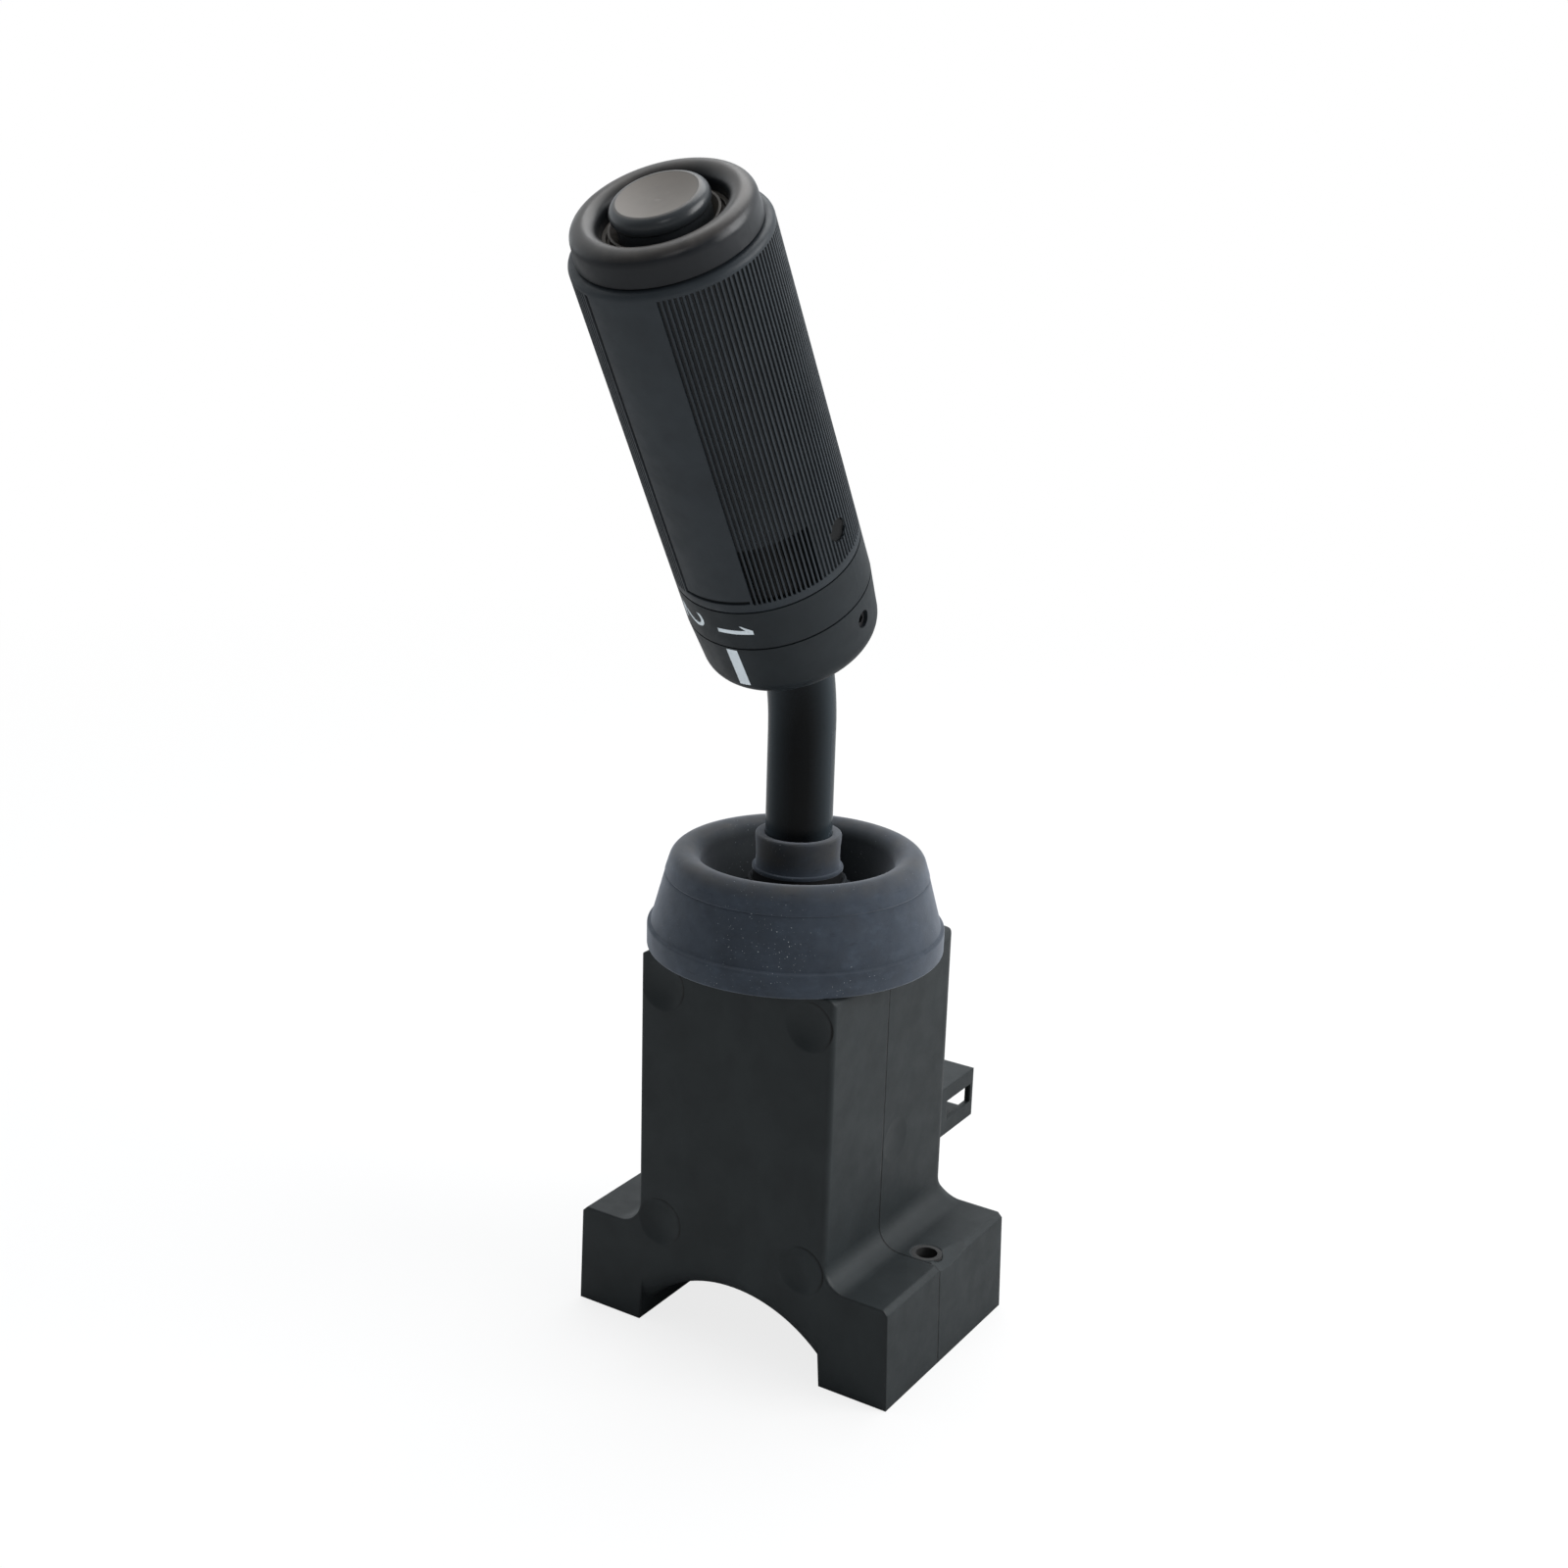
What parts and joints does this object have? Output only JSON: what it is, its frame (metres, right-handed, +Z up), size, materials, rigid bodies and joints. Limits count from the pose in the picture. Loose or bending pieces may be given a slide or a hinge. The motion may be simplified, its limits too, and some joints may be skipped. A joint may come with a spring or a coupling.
{
  "type": "combination stalk switch",
  "caption": "Column stalk switch: saddle-footed two-part housing, rubber boot, gimballed lever, bent stalk, twist grip with numbered band and end push button.",
  "frame": {"origin": "midway between the two foot bolt holes, on the plane that the feet stand on", "axes": "+Z up the stalk, -Y towards the driver's side face, X from foot to foot along the two bolt holes"},
  "size_m": [0.09, 0.135, 0.2805],
  "materials": {
    "housing_plastic": "fine moulded satin",
    "boot_rubber": "matt blue-grey rubber",
    "zinc_steel": "zinc plated",
    "spring_steel": "drawn wire",
    "bush_bronze": "sintered",
    "slider_plastic": "natural acetal",
    "board_laminate": "coated laminate",
    "chip_plastic": "moulded",
    "contact_brass": "tinned brass",
    "gimbal_alloy": "die cast",
    "hub_plastic": "glass filled nylon",
    "tube_black": "gloss black",
    "magnet_alloy": "nickel plated",
    "grip_plastic": "satin moulded with fine ribs",
    "band_plastic": "satin moulded",
    "rotor_plastic": "moulded",
    "bezel_rubber": "matt",
    "button_plastic": "satin"
  },
  "bodies": {
    "base": {"front_housing": "housing_plastic", "rear_housing": "housing_plastic", "housing_screws": "zinc_steel", "foot_sleeves": "zinc_steel", "rubber_boot": "boot_rubber", "boot_bellows": "boot_rubber", "pivot_bushes": "bush_bronze", "detent_plate": "slider_plastic", "circuit_board": "board_laminate", "board_screws": "zinc_steel", "hall_sensors": "chip_plastic", "connector_header": "chip_plastic", "connector_pins": "contact_brass"},
    "gimbal": {"gimbal_ring": "gimbal_alloy", "shift_pivot_pins": "zinc_steel", "lift_pivot_pin": "zinc_steel", "lift_return_spring": "spring_steel"},
    "lever": {"lever_hub": "hub_plastic", "stalk_tube": "tube_black", "tube_roll_pin": "zinc_steel", "tube_collar": "boot_rubber", "sensor_magnet": "magnet_alloy", "plunger_spring": "spring_steel", "index_ring": "band_plastic", "index_set_screw": "tube_black", "switch_stator": "slider_plastic", "grip_core": "hub_plastic", "core_pin": "zinc_steel", "click_spring": "spring_steel", "button_housing": "hub_plastic", "end_bezel": "bezel_rubber", "button_contact": "slider_plastic", "button_spring": "spring_steel"},
    "plunger": {"detent_plunger": "slider_plastic"},
    "grip": {"switch_rotor": "rotor_plastic", "number_band": "band_plastic", "grip_sleeve": "grip_plastic", "sleeve_plug": "chip_plastic"},
    "button": {"horn_button": "button_plastic"}
  },
  "joints": [
    {"name": "shift", "type": "hinge", "parent": "base", "child": "gimbal", "pos_m": [0, -0.0036, 0.078], "axis": [0, 1, 0], "range_deg": [-12, 12], "deforming": ["boot_bellows"]},
    {"name": "lift", "type": "hinge", "parent": "gimbal", "child": "lever", "pos_m": [0, -0.0036, 0.078], "axis": [1, 0, 0], "range_deg": [0, 6], "stiffness_Nm_per_rad": 8, "springref_deg": -8.59, "deforming": ["boot_bellows", "lift_return_spring"]},
    {"name": "detent_press", "type": "slide", "parent": "lever", "child": "plunger", "axis": [0, 0, 1], "range_m": [0, 0.0015], "stiffness_N_per_m": 400, "springref_m": -0.002, "deforming": ["plunger_spring"]},
    {"name": "grip_twist", "type": "hinge", "parent": "lever", "child": "grip", "pos_m": [0, -0.0036, 0.16645], "axis": [0.0225, -0.5145, 0.8572], "range_deg": [0, 102]},
    {"name": "button_press", "type": "slide", "parent": "lever", "child": "button", "axis": [-0.0225, 0.5145, -0.8572], "range_m": [0, 0.0025], "stiffness_N_per_m": 600, "springref_m": -0.002, "deforming": ["button_spring"]}
  ]
}
